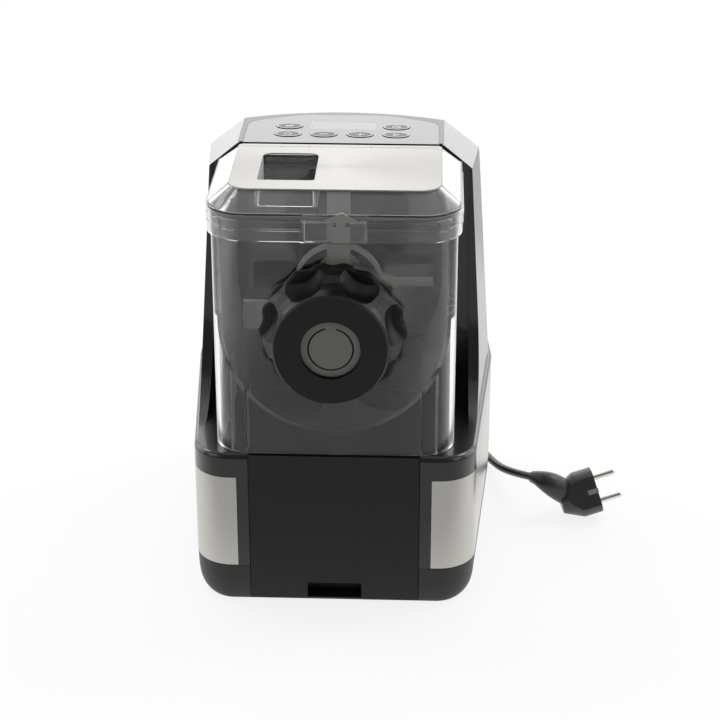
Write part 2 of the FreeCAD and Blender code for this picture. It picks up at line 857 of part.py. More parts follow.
def power_board():
    low_z = drawer_low_z + 8
    board = box((-80, face_y + 132, low_z), (10, face_y + 212, low_z + 1.6))
    parts = [
        box((-72, face_y + 140, low_z + 1), (-40, face_y + 172, low_z + 30)),
        box((-30, face_y + 190, low_z + 1), (4, face_y + 196, low_z + 36)),
        Part.makeCylinder(9, 26, V(-20, face_y + 155, low_z + 1)),
        Part.makeCylinder(6, 18, V(-66, face_y + 196, low_z + 1)),
        box((-8, face_y + 145, low_z + 1), (6, face_y + 160, low_z + 16)),
    ]
    posts = [Part.makeCylinder(3, low_z - drawer_low_z + seam_gap + 0.2, V(x, y, drawer_low_z - seam_gap))
             for x in (-75, 5) for y in (face_y + 137, face_y + 207)]
    return fused([board] + parts + posts)


board_top_z = machine_height - key_height - 3.2


def keypad_board():
    """Circuit board under the panel, with a tact switch under each key and the display."""
    board = box((-54, face_y + 134, board_top_z - 1.6), (54, face_y + 178, board_top_z))
    gap = key_travel + 0.05
    switches = [Part.makeCylinder(2.5, machine_height - key_height - gap - board_top_z + 0.5,
                                  V(x, y, board_top_z - 0.5)) for x, y in key_places()]
    display = box((-display_half, display_y[0], board_top_z - 0.5),
                  (display_half, display_y[1], machine_height - panel_thickness))
    posts = [Part.makeCylinder(2.5, machine_height - panel_thickness - board_top_z + 0.5,
                               V(x, y, board_top_z - 0.5)) for x, y in
             ((-51.5, face_y + 151), (51.5, face_y + 151), (-20, face_y + 175), (20, face_y + 175))]
    return fused([board, display] + switches + posts)


def key_places():
    front = [(-1.5 * key_pitch, key_front_y), (-0.5 * key_pitch, key_front_y),
             (0.5 * key_pitch, key_front_y), (1.5 * key_pitch, key_front_y)]
    rear = [(-1.5 * key_pitch, key_rear_y), (1.5 * key_pitch, key_rear_y)]
    return front + rear


key_names = ["key_front_1", "key_front_2", "key_front_3", "key_front_4",
             "key_rear_left", "key_rear_right"]


def oval(half_x, half_y, low_z, high_z, x, y):
    ellipse = Part.Ellipse(V(x, y, low_z), half_x, half_y)
    return Part.Face(Part.Wire(ellipse.toShape())).extrude(V(0, 0, high_z - low_z))


def control_panel():
    plate = prism(panel_outline(), machine_height - panel_thickness, machine_height)
    for x, y in key_places():
        plate = plate.cut(oval(key_half_x + key_gap, key_half_y + key_gap,
                               machine_height - 10, machine_height + 1, x, y))
    window = box((-display_half, display_y[0], machine_height - 1.0),
                 (display_half, display_y[1], machine_height + 1))
    return plate.cut(window)


def display_window():
    return box((-display_half + 0.1, display_y[0] + 0.1, machine_height - 1.0),
               (display_half - 0.1, display_y[1] - 0.1, machine_height))


def key(x, y):
    top = oval(key_half_x, key_half_y, machine_height - 4.0, machine_height + 0.4, x, y)
    stem = Part.makeCylinder(2.5, key_height - 3.5, V(x, y, machine_height - key_height))
    skirt = oval(key_half_x - 1, key_half_y - 1, machine_height - 4.5, machine_height - 3.5, x, y)
    return fused([top, stem, skirt])


def interlock_switch():
    """Safety switch behind the bulkhead that feels the lid."""
    body = box((56, bulkhead_y + wall, 262), (76, bulkhead_y + wall + 9, 282))
    tabs = box((60, bulkhead_y + wall + 9, 266), (72, bulkhead_y + wall + 15, 268))
    return fused([body, tabs])


def lid_outline(grow, front_run=0.0, side_run=0.0, corner=0.0):
    """Plan corners of the lid: the chamber's outline, grown, or drawn in towards the plate."""
    half = chamber_half + grow - side_run
    front = chamber_front_y - grow + front_run
    radius = max(chamber_corner_r + grow - corner, 4.0)
    return mirrored([
        (half, front, radius),
        (half, lid_rear_y, 4.0),
    ])


def lid_shell(offset, low_z, drop=0.0):
    """Outer form of the lid, or with offset and drop the space inside it."""
    grow = lid_clearance + lid_wall - offset
    skirt = prism(lid_outline(grow), low_z, lid_rim_z - drop)
    slope = loft([
        rounded_wire(lid_outline(grow - 1.0), lid_rim_z - drop),
        rounded_wire(lid_outline(grow, lid_front_run, lid_side_run, 12.0), lid_top_z - drop),
    ])
    return skirt.fuse(slope)


def fill_block(grow, low_z, high_z):
    return prism([
        (fill_x[0] - grow, fill_y[0] - grow, 2.0), (fill_x[1] + grow, fill_y[0] - grow, 2.0),
        (fill_x[1] + grow, fill_y[1] + grow, 7.0), (fill_x[0] - grow, fill_y[1] + grow, 7.0),
    ], low_z, high_z)


def lid_frame():
    """Clear lid: skirt, two rim lines, sloping shoulders, and the chute under the fill hole."""
    outer = lid_shell(0.0, lid_skirt_low)
    inner = lid_shell(lid_wall, lid_skirt_low - 1, lid_wall)
    rear = box((-200, lid_rear_y - lid_wall, 0), (200, 200, 400))
    inner = inner.cut(rear)
    line_grow = lid_clearance + lid_wall
    beads = []
    for z in (lid_skirt_low + 8.0, lid_skirt_low + 14.4):
        bead = prism(lid_outline(line_grow + 0.8), z, z + 1.4)
        beads.append(bead.cut(prism(lid_outline(line_grow - 1), z - 1, z + 3)))
    chute = fill_block(chute_wall, chute_low_z, lid_top_z - 1)
    tab_front = chamber_front_y - line_grow
    tab = box((-lid_tab_half, tab_front - 1.6, lid_skirt_low), (lid_tab_half, tab_front + 1, lid_skirt_low + 15))
    lid = fused([outer.cut(inner), chute, tab] + beads)
    below = box((-200, -200, 0), (200, 200, lid_rim_z + 50)).common(
        prism(chamber_outline(-lid_clearance), 200, chamber_top + seam_gap))
    lid = lid.cut(below.cut(fill_block(chute_wall, 0, 400)))
    return lid.cut(fill_block(0.0, 200, 400))


def lid_catch():
    """Latch tongue behind the lid's front tab, with its triangular head under the bevel."""
    front = chamber_front_y - lid_clearance - lid_wall
    tongue_low = lid_skirt_low + 1.0
    tongue = box((0.0, front - 3.6, tongue_low), (12.0, front - 1.6, tongue_low + 12.0))
    head = front_profile([
        (-8.0, lid_rim_z - 4.6, 0), (19.0, lid_rim_z - 4.6, 0), (7.0, lid_rim_z + 2.4, 0),
    ], front - 3.6, front - 1.6)
    bridge = box((3.0, front - 3.6, tongue_low + 10), (9.0, front - 1.6, lid_rim_z - 3))
    return fused([tongue, head, bridge])


def lid_plate():
    grow = lid_clearance + lid_wall
    outline = lid_outline(grow - 0.4, lid_front_run, lid_side_run, 12.0)
    plate = prism(outline, lid_top_z, lid_top_z + lid_plate_thickness)
    return plate.cut(fill_block(0.0, lid_top_z - 5, lid_top_z + 5))


def lid_seal():
    """Soft ring between the chamber's rim and the lid."""
    low = chamber_top
    outer = prism(chamber_outline(0.4), low, low + 2.3)
    return outer.cut(prism(chamber_outline(chamber_wall - 0.4), low - 1, low + 5))


def drawer_front():
    panel = box((-drawer_half, face_y, drawer_low_z), (drawer_half, face_y + drawer_face, drawer_high_z))
    notch = box((-notch_half, face_y - 1, drawer_low_z - 1),
                (notch_half, face_y + drawer_face + 1, notch_top_z))
    return panel.cut(notch)


def drawer_box():
    front = face_y + drawer_face
    rear = face_y + drawer_face + drawer_box_depth
    tub = box((-drawer_box_half, front, drawer_low_z), (drawer_box_half, rear, base_top - 7))
    inside = box((-drawer_box_half + drawer_wall, front + drawer_wall, drawer_low_z + drawer_wall),
                 (drawer_box_half - drawer_wall, rear - drawer_wall, base_top))
    pull = box((-notch_half, front - 1, drawer_low_z - 1), (notch_half, front + 11, notch_top_z))
    pocket = box((-notch_half - 2, front, drawer_low_z), (notch_half + 2, front + 13, notch_top_z + 2))
    return fused([tub.cut(inside), pocket]).cut(pull)


def cord_gland():
    """Bush where the cord leaves the rear cover, with the taper that keeps it from kinking."""
    flange = rod(9.5, rear_y, rear_y + 3.2, cord_exit_x, cord_exit_z)
    neck = rod(6.9, rear_y - 8, rear_y + 1, cord_exit_x, cord_exit_z)
    taper = Part.makeCone(6.5, 4.6, gland_length - 3.0, V(cord_exit_x, rear_y + 3.0, cord_exit_z),
                          V(0, 1, 0))
    return fused([flange, neck, taper])


def unit(vector):
    return V(vector) * (1.0 / V(vector).Length)


def tangent_arc(start, heading, end):
    """Arc from start with that heading to end. Returns its edge and its heading at the end."""
    chord = end - start
    along = unit(chord)
    heading = unit(heading)
    across = heading - along * heading.dot(along)
    after = unit(along * (2 * heading.dot(along)) - heading)
    if across.Length < 1e-9:
        return Part.LineSegment(start, end).toShape(), after
    half_turn = heading.getAngle(chord)
    middle = start + chord * 0.5 + unit(across) * (chord.Length / 2 * math.tan(half_turn / 2))
    return Part.Arc(start, middle, end).toShape(), after


def route_wire(points):
    """Straight runs joined by tangent arcs. Returns the wire and its arc radii."""
    vectors = [V(*point) for point in points]
    edges = []
    radii = []
    at = vectors[0]
    for before, corner, after in zip(vectors, vectors[1:], vectors[2:]):
        arriving = unit(corner - before)
        leaving = unit(after - corner)
        reach = 0.45 * min((corner - before).Length, (after - corner).Length)
        half_turn = arriving.getAngle(leaving) / 2
        radii.append(round(reach / math.tan(half_turn), 1))
        first = corner - arriving * reach
        last = corner + leaving * reach
        edges.append(Part.LineSegment(at, first).toShape())
        edges.append(tangent_arc(first, arriving, last)[0])
        at = last
    edges.append(Part.LineSegment(at, vectors[-1]).toShape())
    return Part.Wire(edges), radii


def swept_tube(wire, start, heading):
    """Round tube of the cord's size along a wire."""
    section = Part.Wire(Part.Circle(start, heading, cord_r).toShape())
    return wire.makePipeShell([section], True, False)


def coil_radii():
    """Radius of each half turn: three inward, one that climbs, three outward."""
    inward = [coil_outer_r - coil_pitch / 2 * half for half in range(4)]
    return inward + inward[2::-1]


def coil_start():
    return V(cord_exit_x, tail_points()[-1][1], cord_rest_z)


def coil_wire():
    """Half turns seen from above going clockwise, in two layers, with a straight start and end."""
    lead_in = 2 * cord_r
    at = coil_start()
    heading = V(0, 1, 0)
    edges = [Part.LineSegment(at, at + heading * lead_in).toShape()]
    at = at + heading * lead_in
    radii = coil_radii()
    for index, radius in enumerate(radii):
        across = V(2 * radius, 0, 0) * (1 if index % 2 == 0 else -1)
        end = at + across
        if index == len(radii) - 1:
            end = at + V(radius, radius, 0)
            edge, heading = tangent_arc(at, heading, end)
            edges.append(edge)
            at = end
            continue
        climbs = index == len(radii) // 2
        if climbs:
            end = end + V(0, 0, coil_pitch)
        reach = (end - at).Length / 2
        middle = (at + heading * reach + end + heading * reach) * 0.5
        first, turned = tangent_arc(at, heading, middle)
        second, arrived = tangent_arc(middle, turned, end)
        edges += [first, second]
        at = end
        heading = heading * -1
    edges.append(Part.LineSegment(at, at + heading * lead_in).toShape())
    return Part.Wire(edges), at + heading * lead_in


def tail_points():
    """Route from the gland down to the floor behind the machine."""
    start_y = rear_y + gland_length
    return [
        (cord_exit_x, start_y, cord_exit_z),
        (cord_exit_x, start_y + 37.0, cord_exit_z),
        (cord_exit_x, start_y + 70.0, cord_rest_z),
        (cord_exit_x, start_y + 106.0, cord_rest_z),
    ]


def plug_entry():
    return V(*plug_face) + V(*plug_entry_step)


def lead_points():
    """Route from the coil round the machine's right rear corner to the plug."""
    start = coil_wire()[1]
    return [
        tuple(start),
        (start.x + 50.0, start.y, start.z),
        (84.0, start.y - 29.0, cord_rest_z),
        (100.0, 222.0, cord_rest_z),
        (104.0, 160.0, cord_rest_z),
        (122.0, 104.0, 6.5),
        (135.0, 65.0, 18.0),
        tuple(plug_entry()),
    ]


def routed_cord(name, points):
    wire, radii = route_wire(points)
    heading = V(*points[1]) - V(*points[0])
    cord = swept_tube(wire, V(*points[0]), heading)
    expected = math.pi * cord_r ** 2 * wire.Length
    print("%s length %.0f arc radii %s volume over section x length %.4f" % (
        name, wire.Length, radii, cord.Volume / expected))
    return cord


def coil_self_gap(wire):
    """Least distance between the coil's own turns, less a diameter."""
    points = wire.discretize(Number=420)
    step = wire.Length / 419
    skip = int(40.0 / step)
    least = 1e9
    for index, point in enumerate(points):
        for other in points[index + skip:]:
            least = min(least, (other - point).Length)
    return least - 2 * cord_r


def cord_coil():
    wire = coil_wire()[0]
    coil = swept_tube(wire, coil_start(), V(0, 1, 0))
    expected = math.pi * cord_r ** 2 * wire.Length
    print("coil length %.0f least gap %.2f volume over section x length %.4f" % (
        wire.Length, coil_self_gap(wire), coil.Volume / expected))
    return coil


def plug_placement():
    """Plug frame: X along the pins, Y from the upper pin to the lower, Z away from the viewer."""
    along = unit(V(*plug_axis))
    side = V(*plug_side)
    side = unit(side - along * side.dot(along))
    away = along.cross(side)
    matrix = FreeCAD.Matrix(
        along.x, side.x, away.x, plug_face[0],
        along.y, side.y, away.y, plug_face[1],
        along.z, side.z, away.z, plug_face[2],
        0, 0, 0, 1)
    return matrix


def placed(shape):
    return shape.transformGeometry(plug_placement())


def circle_wire(centre, direction, radius):
    return Part.Wire(Part.Circle(centre, direction, radius).toShape())


def plug_body():
    """Round face with two flats, a body that narrows, and a bent neck to the cord."""
    disc = Part.makeCylinder(plug_r, 15.0, V(-15, 0, 0), V(1, 0, 0))
    back = Part.makeCone(plug_r, 11.0, 15.0, V(-15, 0, 0), V(-1, 0, 0))
    body = fused([disc, back])
    for side in (1, -1):
        flat = box((-60, -30, 14.0), (10, 30, 30))
        if side < 0:
            flat = flat.mirror(V(0, 0, 0), V(0, 0, 1))
        body = body.cut(flat)
    for side in (1, -1):
        groove = box((-8, -2.2, 12.6), (1, 2.2, 20))
        if side < 0:
            groove = groove.mirror(V(0, 0, 0), V(0, 0, 1))
        body = body.cut(groove)
    body = placed(body)
    entry = plug_entry()
    arriving = unit(entry - V(*lead_points()[-2]))
    inside = V(*plug_face) - unit(V(*plug_axis)) * 20.0
    leaving = unit(inside - entry)
    bend = entry + arriving * 9.0
    stations = [
        (entry, arriving, 5.0),
        (entry + arriving * 3.0, arriving, 5.3),
        (bend + leaving * 3.0, unit(arriving + leaving), 7.4),
        (bend + leaving * 14.0, leaving, 9.6),
        (inside, leaving, 10.4),
    ]
    neck = loft([circle_wire(*station) for station in stations], smooth=True)
    return body.fuse(neck).removeSplitter()


def plug_pins():
    pins = []
    for side in (1, -1):
        y = side * plug_pin_pitch / 2
        pin = Part.makeCylinder(plug_pin_r, plug_pin_length - 1.5, V(0, y, 0), V(1, 0, 0))
        tip = Part.makeCone(plug_pin_r, plug_pin_r * 0.5, 1.5, V(plug_pin_length - 1.5, y, 0),
                            V(1, 0, 0))
        pins.append(placed(fused([pin, tip])))
    return Part.Compound(pins)


def plug_earth_clips():
    clips = []
    for side in (1, -1):
        clip = box((-8, -2.0, 12.6), (0.6, 2.0, 13.6))
        if side < 0:
            clip = clip.mirror(V(0, 0, 0), V(0, 0, 1))
        clips.append(placed(clip))
    return Part.Compound(clips)


def save(name, shape):
    shape.exportStep(os.path.join("parts", name + ".step"))
    print("%-20s solids %2d volume %9.1f valid %s" % (
        name, len(shape.Solids), shape.Volume, shape.isValid()))


def main():
    os.makedirs("parts", exist_ok=True)
    body = outer_body()
    cavities = body_cavities()
    save("main_housing", main_housing(body, cavities))
    save("rear_cover", rear_cover(body, cavities))
    save("base_tray", base_tray())
    save("rubber_feet", rubber_feet())
    save("steel_panel_left", steel_panel(-1))
    save("steel_panel_right", steel_panel(1))
    save("control_panel", control_panel())
    save("display_window", display_window())
    save("keypad_board", keypad_board())
    for name, (x, y) in zip(key_names, key_places()):
        save(name, key(x, y))
    save("mixing_chamber", mixing_chamber())
    save("chamber_bush", chamber_bush())
    save("extrusion_barrel", extrusion_barrel())
    save("barrel_seal", barrel_seal())
    save("shaping_disc", shaping_disc())
    save("locking_knob", locking_knob())
    save("auger", auger())
    save("mixing_paddle", mixing_paddle())
    save("lid_frame", lid_frame())
    save("lid_catch", lid_catch())
    save("lid_plate", lid_plate())
    save("lid_seal", lid_seal())
    save("drawer_front", drawer_front())
    save("drawer_box", drawer_box())
    save("output_gear", output_gear())
    save("output_shaft", output_shaft())
    save("motor_pinion", motor_pinion())
    save("output_bearings", output_bearings())
    save("shaft_seal", shaft_seal())
    save("gear_plate", gear_plate())
    save("gear_plate_screws", gear_plate_screws())
    save("gearbox", gearbox())
    save("motor", motor())
    save("power_board", power_board())
    save("interlock_switch", interlock_switch())
    save("cord_gland", cord_gland())
    save("cord_tail", routed_cord("cord_tail", tail_points()))
    save("cord_coil", cord_coil())
    save("cord_lead", routed_cord("cord_lead", lead_points()))
    save("plug_body", plug_body())
    save("plug_pins", plug_pins())
    save("plug_earth_clips", plug_earth_clips())


main()
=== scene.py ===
"""Looks of the electric pasta maker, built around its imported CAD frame.

Metres, +Z up, the front with the knob towards -Y, as in the frame.
"""

import math

import bpy
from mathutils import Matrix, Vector


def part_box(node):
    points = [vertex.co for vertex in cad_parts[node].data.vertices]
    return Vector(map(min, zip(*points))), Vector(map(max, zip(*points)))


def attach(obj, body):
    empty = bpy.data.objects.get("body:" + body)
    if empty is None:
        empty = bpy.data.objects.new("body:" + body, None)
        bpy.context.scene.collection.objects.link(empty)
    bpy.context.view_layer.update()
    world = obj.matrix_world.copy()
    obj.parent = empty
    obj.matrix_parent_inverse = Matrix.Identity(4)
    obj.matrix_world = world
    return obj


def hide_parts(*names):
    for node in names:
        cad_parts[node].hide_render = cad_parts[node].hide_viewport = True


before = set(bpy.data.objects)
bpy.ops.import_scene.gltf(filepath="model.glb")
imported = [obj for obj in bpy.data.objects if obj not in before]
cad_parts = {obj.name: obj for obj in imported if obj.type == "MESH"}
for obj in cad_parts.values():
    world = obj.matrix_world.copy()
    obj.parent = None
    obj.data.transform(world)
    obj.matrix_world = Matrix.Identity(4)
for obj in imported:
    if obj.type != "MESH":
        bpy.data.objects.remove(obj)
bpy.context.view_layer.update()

bl_info = {
    "name": "Pasta maker looks",
    "version": (1, 0, 0),
    "blender": (4, 5, 0),
    "location": "3D view > Sidebar > Pasta maker",
    "description": "Materials, printed marks, lid tab, cord and stage of an electric pasta maker",
    "category": "Object",
}

MM = 0.001
QUARTER_TURN = math.pi / 2
EVEN = (1, 1, 1)            # a pattern with the same scale along each axis

# Places on the machine, repeated from the part's source
REAR_Y = 149.0 * MM
AXIS_Z = 220.0 * MM
PLUG_ENTRY = (152.7 * MM, 32.9 * MM, 30.6 * MM)


class PastaMakerColours(bpy.types.PropertyGroup):
    """Colours of the finishes, as sRGB hex values."""

    housing: bpy.props.StringProperty(
        name="Housing", description="Glossy black ABS of the housing", default="#0D0D0E")
    tray: bpy.props.StringProperty(
        name="Tray", description="Matt black ABS of the base tray", default="#1A1A1A")
    feet: bpy.props.StringProperty(
        name="Feet", description="Black rubber of the feet", default="#161616")
    display: bpy.props.StringProperty(
        name="Display", description="Smoked window over the display", default="#050506")
    keycap: bpy.props.StringProperty(
        name="Key caps", description="Satin ABS of the keys", default="#1A1A1C")
    knob: bpy.props.StringProperty(
        name="Knob", description="Satin black nylon of the locking knob", default="#0B0B0C")
    steel: bpy.props.StringProperty(
        name="Steel", description="Brushed stainless steel", default="#BDBBB6")
    lid_steel: bpy.props.StringProperty(
        name="Lid steel", description="Finely brushed steel of the lid plate", default="#A3A19D")
    # Painted shade of the fold line: darker than the lid plate's steel
    fold_steel_and_shade: bpy.props.StringProperty(
        name="Scored steel", description="Steel in the fold line of the lid plate",
        default="#6E6D6B")
    clear: bpy.props.StringProperty(
        name="Clear plastic", description="Tint of the polycarbonate", default="#F2F2F1")
    # Painted edge light: a whitish colour mixed into the clear plastic where its walls are seen at
    # a slant
    painted_edge_light: bpy.props.StringProperty(
        name="Haze", description="Light that gathers in the polycarbonate's walls",
        default="#F2F2F0")
    pale: bpy.props.StringProperty(
        name="Pale plastic", description="Off-white acetal of the working parts", default="#B9B8B3")
    # The disc's grey, darkened with painted shade of the recess it sits in
    disc: bpy.props.StringProperty(
        name="Disc", description="Grey acetal of the shaping disc", default="#706F6A")
    catch: bpy.props.StringProperty(
        name="Catch", description="Grey acetal of the lid's catch", default="#8F8E8B")
    silicone: bpy.props.StringProperty(
        name="Seals", description="Grey silicone of the seals", default="#8C8C8A")
    machined: bpy.props.StringProperty(
        name="Machined steel", description="Gears, shaft and bearings", default="#A9A9AB")
    zinc: bpy.props.StringProperty(
        name="Zinc plate", description="Plated gear plate, screws and motor can",
        default="#B9BAB4")
    cast: bpy.props.StringProperty(
        name="Cast zinc", description="Die-cast case of the gearbox", default="#7C7D7F")
    nickel: bpy.props.StringProperty(
        name="Nickel", description="Plated pins and clips of the plug", default="#D2D0CA")
    laminate: bpy.props.StringProperty(
        name="Circuit board", description="Solder mask of the boards", default="#1F5A36")
    laminate_dark: bpy.props.StringProperty(
        name="Circuit board, dark", description="Solder mask over bare laminate",
        default="#1B5030")
    tracks: bpy.props.StringProperty(
        name="Tracks", description="Solder mask over the copper tracks", default="#2E7A4C")
    print_ink: bpy.props.StringProperty(
        name="Print", description="Pale grey ink on the panel and keys", default="#D8D8D8")
    cord: bpy.props.StringProperty(
        name="Cord", description="Black PVC of the mains cord", default="#111112")
    plug: bpy.props.StringProperty(
        name="Plug", description="Dark PVC moulded round the plug", default="#2B2B2D")
    floor: bpy.props.StringProperty(
        name="Floor", description="Plain pale floor", default="#C6C6C6")


class PastaMakerSizes(bpy.types.PropertyGroup):
    """Sizes of the pieces made here."""

    cord_diameter: bpy.props.FloatProperty(
        name="Cord diameter", description="Outside diameter of the mains cord",
        default=6.4 * MM, unit="LENGTH")
    cord_length: bpy.props.FloatProperty(
        name="Cord length", description="From the gland to the plug",
        default=1.235, unit="LENGTH")
    ring_width: bpy.props.FloatProperty(
        name="Key ring width", description="Width of the printed ring round a key",
        default=0.8 * MM, unit="LENGTH")
    ink_height: bpy.props.FloatProperty(
        name="Print height", description="How far a print stands on its surface",
        default=0.05 * MM, unit="LENGTH")


def colours():
    return bpy.context.scene.pasta_maker_colours


def sizes():
    return bpy.context.scene.pasta_maker_sizes


def linear(hex_colour):
    """An sRGB hex colour as linear red, green, blue and alpha."""
    digits = hex_colour.lstrip("#")
    channels = [int(digits[i:i + 2], 16) / 255 for i in (0, 2, 4)]
    return [c / 12.92 if c <= 0.04045 else ((c + 0.055) / 1.055) ** 2.4 for c in channels] + [1.0]


def per_metre(size_mm):
    """How often a pattern of this size repeats in a metre."""
    return 1 / (size_mm * MM)


def add_node(tree, kind, inputs=(), **settings):
    """A node with its settings; inputs maps a socket to a value or to another node's output."""
    node = tree.nodes.new(kind)
    for name, value in settings.items():
        setattr(node, name, value)
    for socket, value in dict(inputs).items():
        if isinstance(value, bpy.types.NodeSocket):
            tree.links.new(value, node.inputs[socket])
        else:
            node.inputs[socket].default_value = value
    return node


def new_material(name):
    material = bpy.data.materials.new(name)
    material.use_nodes = True
    material.node_tree.nodes.clear()
    return material, material.node_tree


def finish_material(tree, shader):
    add_node(tree, "ShaderNodeOutputMaterial", {"Surface": shader.outputs[0]})


def object_pattern(tree, kind, scale, inputs=(), shift=(0, 0, 0), **settings):
    """A texture node on Object coordinates, with its own scale and shift for each axis."""
    place = add_node(tree, "ShaderNodeTexCoord")
    mapping = add_node(tree, "ShaderNodeMapping",
                       {"Vector": place.outputs["Object"], "Scale": scale, "Location": shift})
    return add_node(tree, kind, {"Vector": mapping.outputs[0], **dict(inputs)}, **settings)


def noise(tree, size_mm, detail):
    """Cloudy pattern whose patches have this size."""
    pattern = object_pattern(tree, "ShaderNodeTexNoise", EVEN,
                             {"Scale": per_metre(size_mm), "Detail": detail})
    return pattern.outputs[0]


def between(tree, value, low, high):
    """A 0 to 1 value mapped between low and high."""
    return add_node(tree, "ShaderNodeMapRange",
                    {"Value": value, "To Min": low, "To Max": high}).outputs[0]


def moulded_plastic(name, colour, roughness, grain_mm, grain_depth_mm, coat=0.0, gloss=0.5):
    """Injection-moulded plastic: an even surface with the grain of its mould, whose sheen
    drifts a little from place to place."""
    sheen_patch_mm = 55.6
    sheen_drift = 0.12
    material, tree = new_material(name)
    # Real mould grain is nearer 0.1 mm, too fine to show, so it is drawn coarser
    bump = add_node(tree, "ShaderNodeBump", {
        "Strength": 1.0, "Distance": grain_depth_mm * MM,
        "Height": noise(tree, grain_mm, 2.0)})
    rough = between(tree, noise(tree, sheen_patch_mm, 3.0),
                    roughness * (1 - sheen_drift), roughness * (1 + sheen_drift))
    shader = add_node(tree, "ShaderNodeBsdfPrincipled", {
        "Base Color": linear(colour), "Roughness": rough, "IOR": 1.53,
        "Specular IOR Level": gloss, "Coat Weight": coat, "Coat Roughness": 0.05,
        "Normal": bump.outputs[0]})
    finish_material(tree, shader)
    return material


def brushed_stainless(name, colour, along):
    """Stainless sheet brushed with fine grit: long hairlines along one axis, which draw
    reflections out across them."""
    hairline_mm = 0.35          # real hairlines are nearer 0.05 mm, too fine to show
    hairline_stretch = 160
    hairline_depth = 0.02 * MM
    sheen_patch_mm = 111.0
    material, tree = new_material(name)
    scale = [per_metre(hairline_mm)] * 3
    scale[along] /= hairline_stretch
    hair = object_pattern(tree, "ShaderNodeTexNoise", scale, {"Scale": 1.0, "Detail": 3.0})
    bump = add_node(tree, "ShaderNodeBump", {
        "Strength": 0.35, "Distance": hairline_depth, "Height": hair.outputs[0]})
    mixed = add_node(tree, "ShaderNodeMath",
                     {0: hair.outputs[0], 1: noise(tree, sheen_patch_mm, 2.0)},
                     operation="MULTIPLY")
    shader = add_node(tree, "ShaderNodeBsdfPrincipled", {
        "Base Color": linear(colour), "Metallic": 1.0,
        "Roughness": between(tree, mixed.outputs[0], 0.24, 0.46),
        "Anisotropic": 0.55, "Normal": bump.outputs[0]})
    finish_material(tree, shader)
    return material


def clear_polycarbonate(name, colour, roughness):
    """Clear moulded polycarbonate: glassy, with soft flow marks, and a painted whitish edge light
    where it is seen at a slant, standing in for the bright reflections in its walls."""
    flow_mm = 45.5
    flow_rise = 0.4             # below 1, so the marks are longer upwards
    flow_depth = 0.15 * MM
    edge_light_starts = 0.6
    edge_light_full = 0.93
    edge_light_share = 0.8
    material, tree = new_material(name)
    flow = object_pattern(tree, "ShaderNodeTexNoise", (1, 1, flow_rise),
                          {"Scale": per_metre(flow_mm), "Detail": 1.0})
    bump = add_node(tree, "ShaderNodeBump", {
        "Strength": 0.25, "Distance": flow_depth, "Height": flow.outputs[0]})
    glassy = add_node(tree, "ShaderNodeBsdfPrincipled", {
        "Base Color": linear(colour), "IOR": 1.49,
        "Roughness": between(tree, flow.outputs[0], roughness * 0.8, roughness * 1.3),
        "Transmission Weight": 1.0, "Normal": bump.outputs[0]})
    # Painted edge light: a pale lit surface that stands in for the walls' bright reflections at a
    # slant
    painted_edge_light = add_node(tree, "ShaderNodeBsdfPrincipled", {
        "Base Color": linear(colours().painted_edge_light), "Roughness": 0.25, "IOR": 1.49})
    slant = add_node(tree, "ShaderNodeLayerWeight", {"Blend": 0.5})
    painted_edge_mix = add_node(tree, "ShaderNodeMapRange", {
        "Value": slant.outputs["Facing"], "From Min": edge_light_starts, "From Max": edge_light_full,
        "To Min": 0.0, "To Max": edge_light_share}, interpolation_type="SMOOTHSTEP")
    mixed = add_node(tree, "ShaderNodeMixShader",
                     {0: painted_edge_mix.outputs[0], 1: glassy.outputs[0], 2: painted_edge_light.outputs[0]})
    finish_material(tree, mixed)
    return material


def soft_rubber(name, colour, roughness):
    """Moulded rubber or PVC: dull, with a slight bloom that breaks up its sheen."""
    pore_mm = 0.455
    pore_depth = 0.03 * MM
    bloom_patch_mm = 16.7
    bloom_drift = 0.08
    material, tree = new_material(name)
    bump = add_node(tree, "ShaderNodeBump", {
        "Strength": 0.5, "Distance": pore_depth, "Height": noise(tree, pore_mm, 1.0)})
    rough = between(tree, noise(tree, bloom_patch_mm, 4.0),
                    roughness - bloom_drift, roughness + bloom_drift)
    shader = add_node(tree, "ShaderNodeBsdfPrincipled", {
        "Base Color": linear(colour), "Roughness": rough, "IOR": 1.52,
        "Normal": bump.outputs[0]})
    finish_material(tree, shader)
    return material


def plain_metal(name, colour, roughness):
    """Machined or plated metal, with the small variations that handling leaves."""
    handling_patch_mm = 11.1
    material, tree = new_material(name)
    rough = between(tree, noise(tree, handling_patch_mm, 4.0), roughness * 0.75, roughness * 1.3)
    shader = add_node(tree, "ShaderNodeBsdfPrincipled", {
        "Base Color": linear(colour), "Metallic": 1.0, "Roughness": rough})
    finish_material(tree, shader)
    return material


def circuit_laminate(name):
    """Green glass-fibre laminate under a glossy solder mask, with faint tracks."""
    track_pitch_mm = 6.25
    c = colours()
    material, tree = new_material(name)
    tracks = object_pattern(tree, "ShaderNodeTexBrick", EVEN, {
        "Scale": per_metre(track_pitch_mm), "Color1": linear(c.laminate),
        "Color2": linear(c.laminate_dark), "Mortar": linear(c.tracks)})
    shader = add_node(tree, "ShaderNodeBsdfPrincipled", {
        "Base Color": tracks.outputs[0], "Roughness": 0.35, "IOR": 1.5})
    finish_material(tree, shader)
    return material


def printed_ink(name, colour):
    """Screen-printed ink: an opaque matt film with a slightly uneven body."""
    film_patch_mm = 1.11
    material, tree = new_material(name)
    rough = between(tree, noise(tree, film_patch_mm, 2.0), 0.45, 0.6)
    shader = add_node(tree, "ShaderNodeBsdfPrincipled", {
        "Base Color": linear(colour), "Roughness": rough, "IOR": 1.5})
    finish_material(tree, shader)
    return material


def dress(material, *nodes):
    """Gives CAD nodes a material."""
    for name in nodes:
        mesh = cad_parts[name].data
        mesh.materials.clear()
        mesh.materials.append(material)


def start_clean():
    """Out of edit mode, with nothing selected."""
    if bpy.context.mode != "OBJECT":
        bpy.ops.object.mode_set(mode="OBJECT")
    bpy.ops.object.select_all(action="DESELECT")


